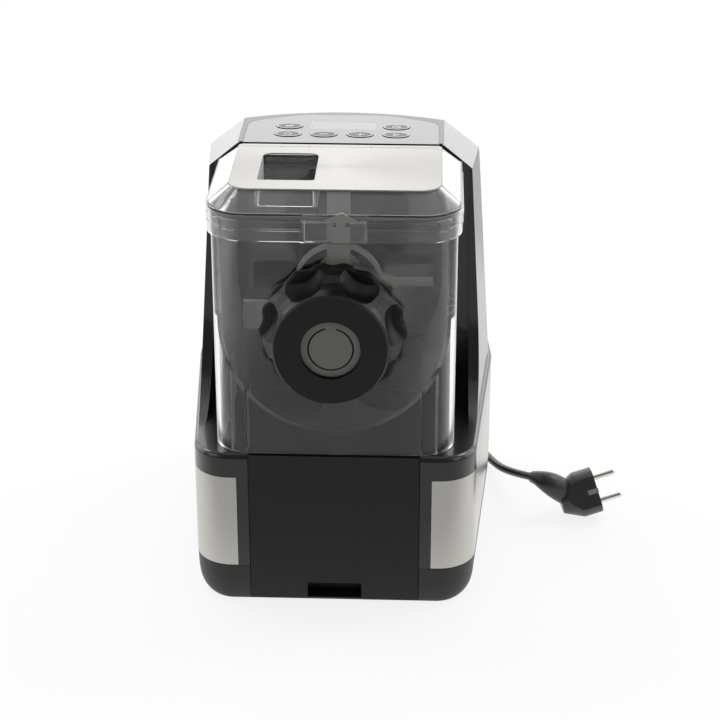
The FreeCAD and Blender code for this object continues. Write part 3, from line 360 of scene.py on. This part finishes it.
def settle(obj, name, body, material):
    """Names a finished piece, puts its place in its mesh and lets it ride on its body."""
    start_clean()
    bpy.context.view_layer.objects.active = obj
    obj.select_set(True)
    bpy.ops.object.transform_apply(location=True, rotation=True, scale=True)
    obj.name = name
    obj.data.name = name
    obj.data.materials.clear()
    obj.data.materials.append(material)
    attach(obj, body)
    return obj


def join(parts):
    """One object from several."""
    start_clean()
    for part in parts:
        part.select_set(True)
    bpy.context.view_layer.objects.active = parts[0]
    if len(parts) > 1:
        bpy.ops.object.join()
    return bpy.context.view_layer.objects.active


def middle(low, high):
    """Centre of a box in plan."""
    return (low[0] + high[0]) / 2, (low[1] + high[1]) / 2


class PASTA_OT_camera(bpy.types.Operator):
    """Camera at the photo's viewing angle"""

    bl_idname = "pasta_maker.camera"
    bl_label = "Add camera"

    def execute(self, context):
        looks_down = math.radians(24.36)
        turned_left = math.radians(2.25)
        data = bpy.data.cameras.new("camera")
        data.lens = 100.0
        data.sensor_width = 36.0
        camera = bpy.data.objects.new("camera", data)
        context.scene.collection.objects.link(camera)
        camera.location = (0.0693, -1.3957, 0.7787)
        camera.rotation_euler = (QUARTER_TURN - looks_down, 0.0, turned_left)
        context.scene.camera = camera
        return {"FINISHED"}


def coil_turns(start, outer_radius, pitch, rise):
    """Spline points of a flat coil: half turns that shrink, climb one layer and grow again."""
    turns_inward = 4
    steps_per_half = 8
    radii = [outer_radius - pitch / 2 * half for half in range(turns_inward)]
    radii += radii[-2::-1]
    points = []
    x, y, z = start
    centre_x = x
    for index, radius in enumerate(radii):
        way = 1 if index % 2 == 0 else -1
        centre_x = x + way * radius
        climb = rise if index == turns_inward - 1 else 0.0
        last = index == len(radii) - 1
        steps = steps_per_half // 2 if last else steps_per_half
        # The curve runs inside its points, so these stand a little further out
        drawn = radius / math.cos(math.pi / steps_per_half / 2) ** 0.5
        for step in range(steps):
            turn = math.pi * (step + 0.5) / steps_per_half
            points.append((centre_x - way * drawn * math.cos(turn),
                           y + way * drawn * math.sin(turn),
                           z + climb * (step + 0.5) / steps_per_half))
        x += way * 2 * radius
        z += climb
    end = (centre_x, y + radii[-1], z)
    return points, end


class PASTA_OT_cord(bpy.types.Operator):
    """Mains cord from the gland, through the coil behind the machine, to the plug"""

    bl_idname = "pasta_maker.cord"
    bl_label = "Add mains cord"

    def execute(self, context):
        diameter = sizes().cord_diameter
        rest_z = 3.3 * MM
        exit_x = -62.0 * MM
        exit_y = REAR_Y + 22.0 * MM
        exit_z = 42.0 * MM
        tail_y = exit_y + 106 * MM
        tail = [(exit_x, exit_y, exit_z),
                (exit_x, exit_y + 37 * MM, exit_z),
                (exit_x, exit_y + 70 * MM, rest_z),
                (exit_x, tail_y, rest_z)]
        coil_start = (exit_x, tail_y + diameter, rest_z)
        turns, end = coil_turns(coil_start, outer_radius=41 * MM, pitch=7 * MM, rise=7 * MM)
        lead_x = end[0] + diameter
        lead = [(lead_x, end[1], end[2]),
                (lead_x + 50 * MM, end[1], end[2]),
                (84 * MM, end[1] - 29 * MM, rest_z),
                (100 * MM, 222 * MM, rest_z),
                (104 * MM, 160 * MM, rest_z),
                (122 * MM, 104 * MM, 6.5 * MM),
                (135 * MM, 65 * MM, 18 * MM),
                PLUG_ENTRY]
        points = tail + turns + lead
        data = bpy.data.curves.new("mains_cord", "CURVE")
        data.dimensions = "3D"
        data.bevel_depth = diameter / 2
        data.bevel_resolution = 5
        data.resolution_u = 6
        data.use_fill_caps = True
        spline = data.splines.new("NURBS")
        spline.points.add(len(points) - 1)
        for point, place in zip(spline.points, points):
            point.co = (*place, 1.0)
        spline.order_u = 3
        spline.use_endpoint_u = True
        cord = bpy.data.objects.new("mains_cord", data)
        context.scene.collection.objects.link(cord)
        # Smooth PVC sheath: black, with a soft broken streak of light along it
        data.materials.append(soft_rubber("cord_pvc", colours().cord, roughness=0.42))
        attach(cord, "housing")
        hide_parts("cord_tail", "cord_coil", "cord_lead")
        return {"FINISHED"}


def finish_casing(c):
    """Housing, drawer, base tray, feet and side panels."""
    # ABS from a polished mould: near black, with soft bright edges from its clear skin
    housing = moulded_plastic("glossy_abs_housing", c.housing, roughness=0.26, grain_mm=1.4,
                              grain_depth_mm=0.004, coat=0.4)
    dress(housing, "main_housing", "rear_cover")

    # The same ABS from a duller mould: the drawer's face takes light evenly
    drawer = moulded_plastic("satin_abs_drawer", c.housing, roughness=0.42, grain_mm=0.8,
                             grain_depth_mm=0.012, gloss=0.35)
    dress(drawer, "drawer_front")

    # Grained ABS: charcoal and matt, so the foot of the machine recedes
    tray = moulded_plastic("grained_abs_tray", c.tray, roughness=0.48, grain_mm=0.7,
                           grain_depth_mm=0.03)
    dress(tray, "base_tray", "drawer_box", "interlock_switch")

    # Moulded rubber: nearly without a sheen
    dress(soft_rubber("black_rubber_feet", c.feet, roughness=0.7), "rubber_feet")

    # Stainless sheet brushed from front to rear: warm pale grey
    side_steel = brushed_stainless("brushed_steel_side", c.steel, along=1)
    dress(side_steel, "steel_panel_left", "steel_panel_right")


def finish_panel(c):
    """Control panel with its display window, keys and board."""
    # Polished ABS: black, and a sharp mirror of the backdrop
    panel = moulded_plastic("polished_abs_panel", c.housing, roughness=0.1, grain_mm=2.0,
                            grain_depth_mm=0.002, coat=0.8)
    dress(panel, "control_panel")

    # Smoked acrylic: the darkest and clearest reflection on the machine
    smoked = moulded_plastic("smoked_display_window", c.display, roughness=0.06, grain_mm=3.0,
                             grain_depth_mm=0.001, coat=1.0)
    dress(smoked, "display_window")

    # Satin ABS caps: a little duller than the plate, so that they stand out on it
    keycap = moulded_plastic("satin_abs_keys", c.keycap, roughness=0.3, grain_mm=0.8,
                             grain_depth_mm=0.006)
    dress(keycap, *KEY_SIGNS)

    # Solder mask on laminate: green, seen only through gaps
    dress(circuit_laminate("green_laminate"), "keypad_board", "power_board")


def finish_chamber(c):
    """Mixing chamber, lid, knob, and what turns or seals in them."""
    # Clear polycarbonate: dark pieces show through it, and a painted whitish light lies on its
    # walls at a slant
    clear = clear_polycarbonate("clear_polycarbonate", c.clear, roughness=0.03)
    dress(clear, "mixing_chamber", "lid_frame")

    # Stainless sheet with a fine brush from side to side: bright, with a gentle fall of light
    dress(brushed_stainless("brushed_steel_lid", c.lid_steel, along=0), "lid_plate")

    # Grey acetal: the catch is a quiet shape behind the clear tab
    catch = moulded_plastic("grey_acetal_catch", c.catch, roughness=0.45, grain_mm=1.0,
                            grain_depth_mm=0.01)
    dress(catch, "lid_catch")

    # Satin nylon with a low gloss: the knob's scoops are read by their soft edges
    knob = moulded_plastic("satin_nylon_knob", c.knob, roughness=0.36, grain_mm=0.6,
                           grain_depth_mm=0.012, gloss=0.3)
    dress(knob, "locking_knob")

    # Grey acetal, darkened with painted shade of the knob's recess: the disc is a grey face in the
    # black knob
    disc = moulded_plastic("grey_acetal_disc", c.disc, roughness=0.42, grain_mm=1.2,
                           grain_depth_mm=0.02)
    dress(disc, "shaping_disc")

    # Off-white acetal: even and pale, so it shows through the clear walls
    pale = moulded_plastic("pale_acetal", c.pale, roughness=0.38, grain_mm=1.0,
                           grain_depth_mm=0.01)
    dress(pale, "chamber_bush", "extrusion_barrel", "auger", "mixing_paddle")

    # Silicone: soft grey lines where pieces meet
    silicone = soft_rubber("grey_silicone", c.silicone, roughness=0.5)
    dress(silicone, "barrel_seal", "lid_seal", "shaft_seal")


def finish_drive(c):
    """Gears, bearings, gearbox and motor behind the bulkhead."""
    # Turned and cut steel: bright, with fairly sharp reflections
    steel = plain_metal("machined_steel", c.machined, roughness=0.3)
    dress(steel, "output_gear", "output_shaft", "motor_pinion", "output_bearings")

    # Zinc-plated sheet: a duller, slightly yellow grey
    zinc = plain_metal("zinc_plated_steel", c.zinc, roughness=0.38)
    dress(zinc, "gear_plate", "gear_plate_screws", "motor")

    # Die-cast zinc: dark grey and matt
    dress(plain_metal("die_cast_zinc", c.cast, roughness=0.55), "gearbox")


def finish_cord_ends(c):
    """Gland, plug body, and the plug's pins and clips."""
    # The cord's own PVC, so that gland and cord look like one moulding
    dress(soft_rubber("gland_pvc", c.cord, roughness=0.42), "cord_gland")

    # Harder PVC: charcoal, so the plug's facets show
    dress(soft_rubber("plug_pvc", c.plug, roughness=0.4), "plug_body")

    # Nickel-plated brass: the brightest metal, a little warm
    nickel = plain_metal("nickel_plated_brass", c.nickel, roughness=0.18)
    dress(nickel, "plug_pins", "plug_earth_clips")


class PASTA_OT_finishes(bpy.types.Operator):
    """Materials of all the CAD pieces"""

    bl_idname = "pasta_maker.finishes"
    bl_label = "Finish CAD pieces"

    def execute(self, context):
        c = colours()
        finish_casing(c)
        finish_panel(c)
        finish_chamber(c)
        finish_drive(c)
        finish_cord_ends(c)
        return {"FINISHED"}


def open_outline(half_x, half_y):
    """Stretches the new flat primitive to its half sizes and opens it, all selected."""
    outline = bpy.context.active_object
    outline.scale = (half_x, half_y, 1.0)
    bpy.ops.object.transform_apply(location=False, rotation=False, scale=True)
    bpy.ops.object.mode_set(mode="EDIT")
    bpy.ops.mesh.select_all(action="SELECT")
    return outline


def take_out_middle(width):
    """Leaves a band of this width round the flat face."""
    bpy.ops.mesh.select_mode(type="FACE")
    bpy.ops.mesh.select_all(action="SELECT")
    bpy.ops.mesh.inset(thickness=width)
    bpy.ops.mesh.delete(type="FACE")


def raise_selection(height):
    bpy.ops.mesh.extrude_region_move(TRANSFORM_OT_translate={"value": (0, 0, height)})


def close_shape():
    """Turns all faces outwards and leaves edit mode."""
    bpy.ops.mesh.select_all(action="SELECT")
    bpy.ops.mesh.normals_make_consistent(inside=False)
    bpy.ops.object.mode_set(mode="OBJECT")


def give_print_body():
    """Makes the flat print as thick as its ink."""
    bpy.ops.mesh.select_all(action="SELECT")
    raise_selection(sizes().ink_height)
    close_shape()


def oval_ring(x, y, z, half_x, half_y, width):
    """Flat printed ring."""
    start_clean()
    bpy.ops.mesh.primitive_circle_add(vertices=48, radius=1.0, fill_type="NGON",
                                      location=(x, y, z))
    ring = open_outline(half_x, half_y)
    take_out_middle(width)
    give_print_body()
    return ring


def printed_frame(x, y, z, half_x, half_y, corner, width):
    """Thin printed frame with round corners."""
    start_clean()
    bpy.ops.mesh.primitive_plane_add(size=2.0, location=(x, y, z))
    border = open_outline(half_x, half_y)
    bpy.ops.mesh.bevel(offset=corner, segments=6, affect="VERTICES")
    take_out_middle(width)
    give_print_body()
    return border


def printed_bar(x, y, z, half_x, half_y, turn=0.0):
    """Short printed stroke with rounded corners."""
    corner_share = 0.8
    start_clean()
    bpy.ops.mesh.primitive_plane_add(size=2.0, location=(x, y, z))
    bar = open_outline(half_x, half_y)
    bpy.ops.mesh.bevel(offset=min(half_x, half_y) * corner_share, segments=3, affect="VERTICES")
    give_print_body()
    bar.rotation_euler = (0, 0, turn)
    return bar


def stroke(x, y, z, half_length, turn=0.0):
    """One line of a key's sign."""
    half_width = 0.45 * MM
    return printed_bar(x, y, z, half_length, half_width, turn)


def sign_ring(x, y, z, radius):
    """Round outline in a key's sign."""
    line_width = 0.7 * MM
    return oval_ring(x, y, z, radius, radius, line_width)


def minus_sign(x, y, z):
    return [stroke(x, y, z, 3.0 * MM)]


def plus_sign(x, y, z):
    return minus_sign(x, y, z) + [stroke(x, y, z, 3.0 * MM, QUARTER_TURN)]


def clock_sign(x, y, z):
    """Dial with two hands that meet in its middle."""
    return [sign_ring(x, y, z, 3.2 * MM),
            stroke(x, y + 0.9 * MM, z, 1.0 * MM, QUARTER_TURN),
            stroke(x + 0.8 * MM, y, z, 0.8 * MM)]


def power_sign(x, y, z):
    """Ring with an upright stroke through its top."""
    return [sign_ring(x, y - 0.4 * MM, z, 2.9 * MM),
            stroke(x, y + 2.2 * MM, z, 1.5 * MM, QUARTER_TURN)]


def start_sign(x, y, z):
    """Triangle that points to the right."""
    slant = math.pi / 6
    side_x = x + 0.4 * MM
    return [stroke(x - 1.6 * MM, y, z, 2.4 * MM, QUARTER_TURN),
            stroke(side_x, y + 1.1 * MM, z, 2.3 * MM, -slant),
            stroke(side_x, y - 1.1 * MM, z, 2.3 * MM, slant)]


def stripes_sign(x, y, z):
    """Three slanted strokes side by side."""
    pitch = 2.0 * MM
    return [stroke(x + step * pitch, y, z, 2.6 * MM, math.pi / 3) for step in (-1, 0, 1)]


KEY_SIGNS = {
    "key_front_1": power_sign,
    "key_front_2": minus_sign,
    "key_front_3": plus_sign,
    "key_front_4": start_sign,
    "key_rear_left": stripes_sign,
    "key_rear_right": clock_sign,
}


class PASTA_OT_key_prints(bpy.types.Operator):
    """Printed ring and generic sign on each key"""

    bl_idname = "pasta_maker.key_prints"
    bl_label = "Print keys"

    def execute(self, context):
        edge_gap = 0.3 * MM
        # Pale ink: the signs read clearly on black, without a shine of their own
        ink = printed_ink("panel_ink", colours().print_ink)
        for key, sign in KEY_SIGNS.items():
            low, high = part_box(key)
            x, y = middle(low, high)
            ring = oval_ring(x, y, high[2], (high[0] - low[0]) / 2 - edge_gap,
                             (high[1] - low[1]) / 2 - edge_gap, sizes().ring_width)
            whole = join([ring] + sign(x, y, high[2]))
            settle(whole, key + "_print", key + "_cap", ink)
        return {"FINISHED"}


class PASTA_OT_panel_print(bpy.types.Operator):
    """Printed frame round the display window"""

    bl_idname = "pasta_maker.panel_print"
    bl_label = "Print panel"

    def execute(self, context):
        margin = 0.9 * MM
        line_width = 0.5 * MM
        corner = 2.0 * MM
        # The keys' ink, as a thin line
        ink = printed_ink("frame_ink", colours().print_ink)
        low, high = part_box("display_window")
        x, y = middle(low, high)
        border = printed_frame(x, y, high[2], (high[0] - low[0]) / 2 + margin,
                               (high[1] - low[1]) / 2 + margin, corner, line_width)
        settle(border, "display_frame_print", "housing", ink)
        return {"FINISHED"}


class PASTA_OT_plate_score(bpy.types.Operator):
    """Fold line and its four short ticks near the rear edge of the lid's steel plate"""

    bl_idname = "pasta_maker.plate_score"
    bl_label = "Score lid plate"

    def execute(self, context):
        rear_margin = 5.1 * MM
        end_margin = 3.0 * MM
        line_half_width = 0.16 * MM
        tick_half_length = 1.6 * MM
        tick_half_width = 0.3 * MM
        inner_tick = 22.5 * MM
        outer_tick = 42.5 * MM
        # Steel in a shallow fold: duller than the plate, and darker with painted shade of the fold
        shade = plain_metal("fold_steel_and_shade", colours().fold_steel_and_shade, roughness=0.5)
        low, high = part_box("lid_plate")
        line_y = high[1] - rear_margin
        half_run = (high[0] - low[0]) / 2 - end_margin
        marks = [printed_bar(0.0, line_y, high[2], half_run, line_half_width)]
        for tick_x in (-outer_tick, -inner_tick, inner_tick, outer_tick):
            marks.append(printed_bar(tick_x, line_y, high[2], tick_half_length, tick_half_width,
                                     QUARTER_TURN))
        settle(join(marks), "lid_plate_score", "lid", shade)
        return {"FINISHED"}


class PASTA_OT_lid_tab(bpy.types.Operator):
    """Clear grip tab with a raised rim, in front of the lid's catch"""

    bl_idname = "pasta_maker.lid_tab"
    bl_label = "Add lid tab"

    def execute(self, context):
        half_width = 22.0 * MM
        half_height = 10.5 * MM
        corner = 2.0 * MM
        thickness = 1.8 * MM
        rim_width = 1.3 * MM
        rim_height = 0.8 * MM
        edge_width = 0.3 * MM
        centre_x = 2.0 * MM
        above_skirt_edge = 0.5 * MM
        gap = 0.05 * MM
        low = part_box("lid_frame")[0]
        start_clean()
        bpy.ops.mesh.primitive_plane_add(size=2.0, location=(0, 0, 0))
        tab = open_outline(half_width, half_height)
        bpy.ops.mesh.bevel(offset=corner, segments=5, affect="VERTICES")
        bpy.ops.mesh.select_mode(type="FACE")
        bpy.ops.mesh.select_all(action="SELECT")
        raise_selection(thickness)
        bpy.ops.mesh.inset(thickness=rim_width)
        raise_selection(-rim_height)
        close_shape()
        tab.rotation_euler = (QUARTER_TURN, 0, 0)
        tab.location = (centre_x, low[1] - gap, low[2] + half_height + above_skirt_edge)
        edge = tab.modifiers.new("edge", "BEVEL")
        edge.width = edge_width
        edge.segments = 2
        bpy.ops.object.modifier_apply(modifier="edge")
        # The lid's polycarbonate with its painted edge light, a little duller where fingers rub it
        clear = clear_polycarbonate("clear_tab_polycarbonate", colours().clear, roughness=0.05)
        settle(tab, "lid_grip_tab", "lid", clear)
        return {"FINISHED"}


def pale_floor():
    """Pale matt board: white to the camera, and a painted pool of light round the machine that
    only gloss and glass show in their reflections."""
    glow_strength = 1.1
    glow_share_seen = 0.76
    pool_reach = (1.0, 2.0, 1.0)
    pool_shift = (0, -0.45, 0)
    pool_edge = 0.05
    pool_core = 0.35
    material, tree = new_material("pale_floor")
    lit = add_node(tree, "ShaderNodeBsdfPrincipled", {
        "Base Color": linear(colours().floor), "Roughness": 0.7})
    glow = add_node(tree, "ShaderNodeEmission",
                    {"Color": (1, 1, 1, 1), "Strength": glow_strength})
    ray = add_node(tree, "ShaderNodeLightPath")
    # Painted pool of light: the floor glows round the machine only for reflected and refracted rays
    painted_pool = object_pattern(tree, "ShaderNodeTexGradient", pool_reach, shift=pool_shift,
                          gradient_type="SPHERICAL")
    spread = add_node(tree, "ShaderNodeMapRange", {
        "Value": painted_pool.outputs["Fac"], "From Min": pool_edge, "From Max": pool_core})
    bounced = add_node(tree, "ShaderNodeMath", {
        0: ray.outputs["Is Glossy Ray"], 1: ray.outputs["Is Transmission Ray"]},
        operation="MAXIMUM")
    painted_pool_in_reflections = add_node(tree, "ShaderNodeMath",
                             {0: bounced.outputs[0], 1: spread.outputs[0]},
                             operation="MULTIPLY")
    seen = add_node(tree, "ShaderNodeMath",
                    {0: ray.outputs["Is Camera Ray"], 1: glow_share_seen}, operation="MULTIPLY")
    share = add_node(tree, "ShaderNodeMath", {0: seen.outputs[0], 1: painted_pool_in_reflections.outputs[0]},
                     operation="MAXIMUM")
    mixed = add_node(tree, "ShaderNodeMixShader",
                     {0: share.outputs[0], 1: lit.outputs[0], 2: glow.outputs[0]})
    finish_material(tree, mixed)
    return material


def softbox(name, place, width, height, watts):
    """Rectangular lamp turned towards the middle of the machine, not seen by the camera itself."""
    data = bpy.data.lights.new(name, "AREA")
    data.shape = "RECTANGLE"
    data.size = width
    data.size_y = height
    data.energy = watts
    lamp = bpy.data.objects.new(name, data)
    lamp.location = place
    towards = Vector((0.0, 0.0, AXIS_Z)) - Vector(place)
    lamp.rotation_euler = towards.to_track_quat("-Z", "Y").to_euler()
    lamp.visible_camera = False
    bpy.context.scene.collection.objects.link(lamp)


def softbox_pair(prefix, out, y, z, width, height, watts):
    """The same lamp on the left and on the right of the machine."""
    for side, word in ((-1, "left"), (1, "right")):
        softbox(prefix + word + "_lamp", (side * out, y, z), width, height, watts)


def add_lamps():
    """Even light from above and in front, and wide lamps behind for the steel to mirror."""
    softbox("overhead_lamp", (0.0, 0.0, 1.9), width=1.6, height=1.6, watts=3.5)
    softbox_pair("", out=1.5, y=-0.9, z=1.0, width=0.8, height=1.2, watts=4.0)
    softbox_pair("upper_", out=1.1, y=0.5, z=1.6, width=0.6, height=0.6, watts=9.0)
    softbox_pair("side_", out=1.4, y=0.4, z=0.62, width=1.2, height=1.1, watts=6.0)
    softbox("horizon_lamp", (0.0, 2.8, 0.42), width=4.0, height=0.6, watts=9.0)
    softbox("back_lamp", (0.0, 2.6, 1.3), width=3.6, height=1.2, watts=11.0)


def pale_world():
    """Pale surroundings, brighter behind the machine, where the backdrop stands, than on the
    camera's side."""
    front_level = 0.2
    rear_level = 1.2
    front_edge = -0.15
    rear_edge = 0.6
    world = bpy.data.worlds.new("studio")
    world.use_nodes = True
    tree = world.node_tree
    tree.nodes.clear()
    heading = add_node(tree, "ShaderNodeTexCoord")
    parts = add_node(tree, "ShaderNodeSeparateXYZ", {"Vector": heading.outputs["Generated"]})
    level = add_node(tree, "ShaderNodeMapRange", {
        "Value": parts.outputs["Y"], "From Min": front_edge, "From Max": rear_edge,
        "To Min": front_level, "To Max": rear_level})
    sky = add_node(tree, "ShaderNodeBackground",
                   {"Color": (0.97, 0.98, 1.0, 1.0), "Strength": level.outputs[0]})
    add_node(tree, "ShaderNodeOutputWorld", {"Surface": sky.outputs[0]})
    return world


class PASTA_OT_stage(bpy.types.Operator):
    """Plain pale floor, soft lamps and pale world"""

    bl_idname = "pasta_maker.stage"
    bl_label = "Add stage"

    def execute(self, context):
        start_clean()
        bpy.ops.mesh.primitive_plane_add(size=12.0, location=(0, 0, 0))
        floor = bpy.context.active_object
        floor.name = "floor"
        floor.data.materials.append(pale_floor())
        add_lamps()
        context.scene.world = pale_world()
        context.scene.view_settings.view_transform = "Standard"
        return {"FINISHED"}


class PASTA_PT_panel(bpy.types.Panel):
    """Lists the steps of the pasta maker's looks"""

    bl_label = "Pasta maker"
    bl_idname = "PASTA_PT_panel"
    bl_space_type = "VIEW_3D"
    bl_region_type = "UI"
    bl_category = "Pasta maker"

    def draw(self, context):
        for group in (colours(), sizes()):
            for name in group.__annotations__:
                self.layout.prop(group, name)
        for operator in OPERATORS:
            self.layout.operator(operator.bl_idname)


OPERATORS = (
    PASTA_OT_camera,
    PASTA_OT_cord,
    PASTA_OT_finishes,
    PASTA_OT_key_prints,
    PASTA_OT_panel_print,
    PASTA_OT_plate_score,
    PASTA_OT_lid_tab,
    PASTA_OT_stage,
)
GROUPS = (PastaMakerColours, PastaMakerSizes)


def register():
    for group in GROUPS:
        bpy.utils.register_class(group)
    bpy.types.Scene.pasta_maker_colours = bpy.props.PointerProperty(type=PastaMakerColours)
    bpy.types.Scene.pasta_maker_sizes = bpy.props.PointerProperty(type=PastaMakerSizes)
    for item in OPERATORS + (PASTA_PT_panel,):
        bpy.utils.register_class(item)


def unregister():
    for item in reversed(OPERATORS + (PASTA_PT_panel,)):
        bpy.utils.unregister_class(item)
    del bpy.types.Scene.pasta_maker_sizes
    del bpy.types.Scene.pasta_maker_colours
    for group in reversed(GROUPS):
        bpy.utils.unregister_class(group)


def main():
    register()
    bpy.ops.pasta_maker.camera()
    bpy.ops.pasta_maker.cord()
    bpy.ops.pasta_maker.finishes()
    bpy.ops.pasta_maker.key_prints()
    bpy.ops.pasta_maker.panel_print()
    bpy.ops.pasta_maker.plate_score()
    bpy.ops.pasta_maker.lid_tab()
    bpy.ops.pasta_maker.stage()


if __name__ == "__main__":
    main()
